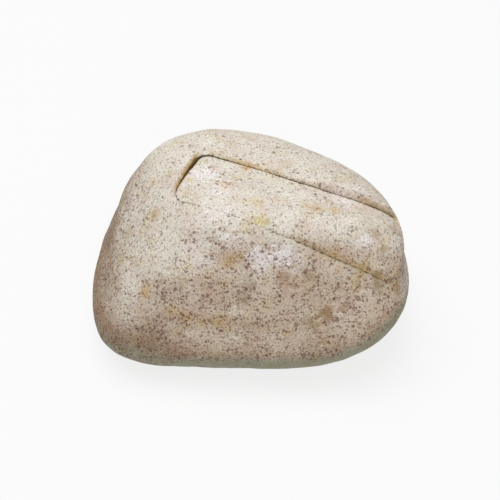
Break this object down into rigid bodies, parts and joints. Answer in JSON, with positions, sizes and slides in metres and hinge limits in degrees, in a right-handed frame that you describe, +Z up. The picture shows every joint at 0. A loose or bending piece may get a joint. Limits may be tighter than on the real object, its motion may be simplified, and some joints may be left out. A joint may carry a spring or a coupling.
{
  "type": "hide a key rock",
  "caption": "Hollow cast stone for hiding a spare key outdoors, with a lid that slides along its crest and uncovers a key tray.",
  "frame": {"origin": "centre of the flat foot, at the middle of the stone's length and width", "axes": "+X along the stone's length to the right of the picture, +Y to the back, +Z up"},
  "size_m": [0.1055, 0.085, 0.055],
  "materials": {
    "cast_stone": "matt painted cast stone, cream with dark flecks",
    "tray_plastic": "moulded, matt dark grey",
    "runner_plastic": "moulded, satin stone grey",
    "pad_foam": "closed-cell foam, matt black",
    "screw_steel": "zinc-plated steel"
  },
  "bodies": {
    "stone": {"stone_shell": "cast_stone", "key_tray": "tray_plastic", "tray_pad": "pad_foam", "base_plate": "tray_plastic", "base_screw_front_left": "screw_steel", "base_screw_front_right": "screw_steel", "base_screw_back_right": "screw_steel", "base_screw_back_left": "screw_steel"},
    "lid": {"stone_lid": "cast_stone", "lid_runner": "runner_plastic", "runner_screw_left": "screw_steel", "runner_screw_right": "screw_steel"}
  },
  "joints": [
    {"name": "lid_slide", "type": "slide", "parent": "stone", "child": "lid", "axis": [0.9204, -0.3907, -0.0175], "range_m": [0, 0.038]}
  ]
}
